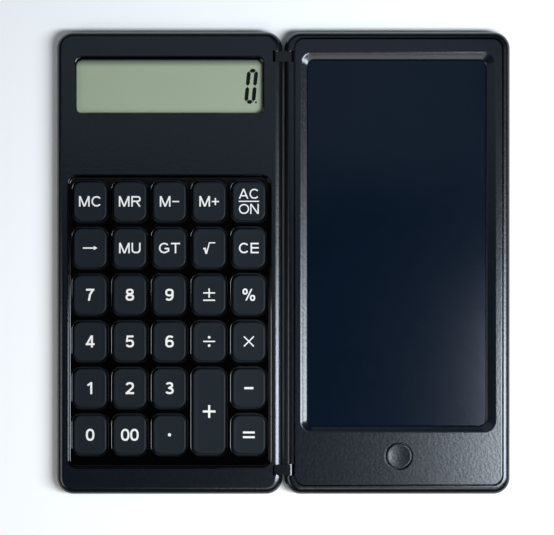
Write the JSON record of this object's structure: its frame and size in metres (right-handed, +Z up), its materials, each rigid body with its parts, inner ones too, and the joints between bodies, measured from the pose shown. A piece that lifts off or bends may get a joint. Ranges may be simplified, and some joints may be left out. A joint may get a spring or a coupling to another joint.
{
  "type": "folding pocket calculator with writing tablet",
  "caption": "Slim folding pocket calculator with a numeric display and rubber-dome keys on one half and a pressure-sensitive writing tablet with an erase button on the other.",
  "frame": {"origin": "on the table under the middle of the hinge, with the two halves opened flat", "axes": "+X from the calculator half to the tablet half, +Y towards the display end, +Z up out of the keys and the writing film"},
  "size_m": [0.1648, 0.168, 0.0064],
  "materials": {
    "casing": "fine matte grain",
    "casing_back": "fine matte grain",
    "gloss_black": "polished",
    "clear_window": "polished",
    "lcd_glass": "polished",
    "lcd_reflector": "satin",
    "ribbon": "satin",
    "circuit_board": "solder mask",
    "chip_resin": "satin",
    "silicone": "matte",
    "steel": "satin",
    "contact_brass": "satin",
    "foot_rubber": "matte",
    "link_plastic": "satin",
    "writing_film": "polished",
    "key_plastic": "satin",
    "switch_plastic": "satin"
  },
  "bodies": {
    "calculator": {"calc_top_cover": "casing", "calc_back_cover": "casing_back", "keypad_grid": "gloss_black", "display_window": "clear_window", "display_frame": "gloss_black", "lcd_glass": "lcd_glass", "lcd_reflector": "lcd_reflector", "lcd_ribbon": "ribbon", "main_board": "circuit_board", "main_board_parts": "chip_resin", "key_membrane": "silicone", "calc_cell": "steel", "calc_cell_contacts": "contact_brass", "calc_battery_door": "casing_back", "calc_screws": "steel", "calc_feet": "foot_rubber"},
    "key_mc": {"key_mc": "key_plastic"},
    "key_mr": {"key_mr": "key_plastic"},
    "key_m_minus": {"key_m_minus": "key_plastic"},
    "key_m_plus": {"key_m_plus": "key_plastic"},
    "key_ac_on": {"key_ac_on": "key_plastic"},
    "key_backspace": {"key_backspace": "key_plastic"},
    "key_mu": {"key_mu": "key_plastic"},
    "key_gt": {"key_gt": "key_plastic"},
    "key_root": {"key_root": "key_plastic"},
    "key_ce": {"key_ce": "key_plastic"},
    "key_7": {"key_7": "key_plastic"},
    "key_8": {"key_8": "key_plastic"},
    "key_9": {"key_9": "key_plastic"},
    "key_sign": {"key_sign": "key_plastic"},
    "key_percent": {"key_percent": "key_plastic"},
    "key_4": {"key_4": "key_plastic"},
    "key_5": {"key_5": "key_plastic"},
    "key_6": {"key_6": "key_plastic"},
    "key_divide": {"key_divide": "key_plastic"},
    "key_multiply": {"key_multiply": "key_plastic"},
    "key_1": {"key_1": "key_plastic"},
    "key_2": {"key_2": "key_plastic"},
    "key_3": {"key_3": "key_plastic"},
    "key_plus": {"key_plus": "key_plastic"},
    "key_minus": {"key_minus": "key_plastic"},
    "key_0": {"key_0": "key_plastic"},
    "key_00": {"key_00": "key_plastic"},
    "key_point": {"key_point": "key_plastic"},
    "key_equals": {"key_equals": "key_plastic"},
    "hinge_links": {"hinge_link_top": "link_plastic", "hinge_link_bottom": "link_plastic", "hinge_pins": "steel"},
    "tablet": {"tablet_bezel": "casing", "tablet_back_cover": "casing", "writing_film": "writing_film", "erase_dome": "silicone", "erase_board": "circuit_board", "tablet_cell": "steel", "tablet_cell_contacts": "contact_brass", "tablet_battery_door": "casing_back", "tablet_screws": "steel", "tablet_feet": "foot_rubber"},
    "erase_button": {"erase_button": "key_plastic"},
    "lock_switch": {"lock_switch": "switch_plastic"}
  },
  "joints": [
    {"name": "link_hinge", "type": "hinge", "parent": "calculator", "child": "hinge_links", "pos_m": [-0.0025, 0, 0.004], "axis": [0, -1, 0], "range_deg": [0, 90]},
    {"name": "tablet_hinge", "type": "hinge", "parent": "hinge_links", "child": "tablet", "pos_m": [0.0025, 0, 0.004], "axis": [0, -1, 0], "range_deg": [0, 90]},
    {"name": "erase_button_press", "type": "slide", "parent": "tablet", "child": "erase_button", "axis": [0, 0, 1], "range_m": [-0.0006, 0], "stiffness_N_per_m": 300, "springref_m": 0.0002, "deforming": ["erase_dome"]},
    {"name": "lock_switch_slide", "type": "slide", "parent": "tablet", "child": "lock_switch", "axis": [1, 0, 0], "range_m": [0, 0.0034]},
    {"name": "key_mc_press", "type": "slide", "parent": "calculator", "child": "key_mc", "axis": [0, 0, 1], "range_m": [-0.0007, 0], "stiffness_N_per_m": 250, "springref_m": 0.0002, "deforming": ["key_membrane"]},
    {"name": "key_mr_press", "type": "slide", "parent": "calculator", "child": "key_mr", "axis": [0, 0, 1], "range_m": [-0.0007, 0], "stiffness_N_per_m": 250, "springref_m": 0.0002, "deforming": ["key_membrane"]},
    {"name": "key_m_minus_press", "type": "slide", "parent": "calculator", "child": "key_m_minus", "axis": [0, 0, 1], "range_m": [-0.0007, 0], "stiffness_N_per_m": 250, "springref_m": 0.0002, "deforming": ["key_membrane"]},
    {"name": "key_m_plus_press", "type": "slide", "parent": "calculator", "child": "key_m_plus", "axis": [0, 0, 1], "range_m": [-0.0007, 0], "stiffness_N_per_m": 250, "springref_m": 0.0002, "deforming": ["key_membrane"]},
    {"name": "key_ac_on_press", "type": "slide", "parent": "calculator", "child": "key_ac_on", "axis": [0, 0, 1], "range_m": [-0.0007, 0], "stiffness_N_per_m": 250, "springref_m": 0.0002, "deforming": ["key_membrane"]},
    {"name": "key_backspace_press", "type": "slide", "parent": "calculator", "child": "key_backspace", "axis": [0, 0, 1], "range_m": [-0.0007, 0], "stiffness_N_per_m": 250, "springref_m": 0.0002, "deforming": ["key_membrane"]},
    {"name": "key_mu_press", "type": "slide", "parent": "calculator", "child": "key_mu", "axis": [0, 0, 1], "range_m": [-0.0007, 0], "stiffness_N_per_m": 250, "springref_m": 0.0002, "deforming": ["key_membrane"]},
    {"name": "key_gt_press", "type": "slide", "parent": "calculator", "child": "key_gt", "axis": [0, 0, 1], "range_m": [-0.0007, 0], "stiffness_N_per_m": 250, "springref_m": 0.0002, "deforming": ["key_membrane"]},
    {"name": "key_root_press", "type": "slide", "parent": "calculator", "child": "key_root", "axis": [0, 0, 1], "range_m": [-0.0007, 0], "stiffness_N_per_m": 250, "springref_m": 0.0002, "deforming": ["key_membrane"]},
    {"name": "key_ce_press", "type": "slide", "parent": "calculator", "child": "key_ce", "axis": [0, 0, 1], "range_m": [-0.0007, 0], "stiffness_N_per_m": 250, "springref_m": 0.0002, "deforming": ["key_membrane"]},
    {"name": "key_7_press", "type": "slide", "parent": "calculator", "child": "key_7", "axis": [0, 0, 1], "range_m": [-0.0007, 0], "stiffness_N_per_m": 250, "springref_m": 0.0002, "deforming": ["key_membrane"]},
    {"name": "key_8_press", "type": "slide", "parent": "calculator", "child": "key_8", "axis": [0, 0, 1], "range_m": [-0.0007, 0], "stiffness_N_per_m": 250, "springref_m": 0.0002, "deforming": ["key_membrane"]},
    {"name": "key_9_press", "type": "slide", "parent": "calculator", "child": "key_9", "axis": [0, 0, 1], "range_m": [-0.0007, 0], "stiffness_N_per_m": 250, "springref_m": 0.0002, "deforming": ["key_membrane"]},
    {"name": "key_sign_press", "type": "slide", "parent": "calculator", "child": "key_sign", "axis": [0, 0, 1], "range_m": [-0.0007, 0], "stiffness_N_per_m": 250, "springref_m": 0.0002, "deforming": ["key_membrane"]},
    {"name": "key_percent_press", "type": "slide", "parent": "calculator", "child": "key_percent", "axis": [0, 0, 1], "range_m": [-0.0007, 0], "stiffness_N_per_m": 250, "springref_m": 0.0002, "deforming": ["key_membrane"]},
    {"name": "key_4_press", "type": "slide", "parent": "calculator", "child": "key_4", "axis": [0, 0, 1], "range_m": [-0.0007, 0], "stiffness_N_per_m": 250, "springref_m": 0.0002, "deforming": ["key_membrane"]},
    {"name": "key_5_press", "type": "slide", "parent": "calculator", "child": "key_5", "axis": [0, 0, 1], "range_m": [-0.0007, 0], "stiffness_N_per_m": 250, "springref_m": 0.0002, "deforming": ["key_membrane"]},
    {"name": "key_6_press", "type": "slide", "parent": "calculator", "child": "key_6", "axis": [0, 0, 1], "range_m": [-0.0007, 0], "stiffness_N_per_m": 250, "springref_m": 0.0002, "deforming": ["key_membrane"]},
    {"name": "key_divide_press", "type": "slide", "parent": "calculator", "child": "key_divide", "axis": [0, 0, 1], "range_m": [-0.0007, 0], "stiffness_N_per_m": 250, "springref_m": 0.0002, "deforming": ["key_membrane"]},
    {"name": "key_multiply_press", "type": "slide", "parent": "calculator", "child": "key_multiply", "axis": [0, 0, 1], "range_m": [-0.0007, 0], "stiffness_N_per_m": 250, "springref_m": 0.0002, "deforming": ["key_membrane"]},
    {"name": "key_1_press", "type": "slide", "parent": "calculator", "child": "key_1", "axis": [0, 0, 1], "range_m": [-0.0007, 0], "stiffness_N_per_m": 250, "springref_m": 0.0002, "deforming": ["key_membrane"]},
    {"name": "key_2_press", "type": "slide", "parent": "calculator", "child": "key_2", "axis": [0, 0, 1], "range_m": [-0.0007, 0], "stiffness_N_per_m": 250, "springref_m": 0.0002, "deforming": ["key_membrane"]},
    {"name": "key_3_press", "type": "slide", "parent": "calculator", "child": "key_3", "axis": [0, 0, 1], "range_m": [-0.0007, 0], "stiffness_N_per_m": 250, "springref_m": 0.0002, "deforming": ["key_membrane"]},
    {"name": "key_plus_press", "type": "slide", "parent": "calculator", "child": "key_plus", "axis": [0, 0, 1], "range_m": [-0.0007, 0], "stiffness_N_per_m": 250, "springref_m": 0.0002, "deforming": ["key_membrane"]},
    {"name": "key_minus_press", "type": "slide", "parent": "calculator", "child": "key_minus", "axis": [0, 0, 1], "range_m": [-0.0007, 0], "stiffness_N_per_m": 250, "springref_m": 0.0002, "deforming": ["key_membrane"]},
    {"name": "key_0_press", "type": "slide", "parent": "calculator", "child": "key_0", "axis": [0, 0, 1], "range_m": [-0.0007, 0], "stiffness_N_per_m": 250, "springref_m": 0.0002, "deforming": ["key_membrane"]},
    {"name": "key_00_press", "type": "slide", "parent": "calculator", "child": "key_00", "axis": [0, 0, 1], "range_m": [-0.0007, 0], "stiffness_N_per_m": 250, "springref_m": 0.0002, "deforming": ["key_membrane"]},
    {"name": "key_point_press", "type": "slide", "parent": "calculator", "child": "key_point", "axis": [0, 0, 1], "range_m": [-0.0007, 0], "stiffness_N_per_m": 250, "springref_m": 0.0002, "deforming": ["key_membrane"]},
    {"name": "key_equals_press", "type": "slide", "parent": "calculator", "child": "key_equals", "axis": [0, 0, 1], "range_m": [-0.0007, 0], "stiffness_N_per_m": 250, "springref_m": 0.0002, "deforming": ["key_membrane"]}
  ]
}
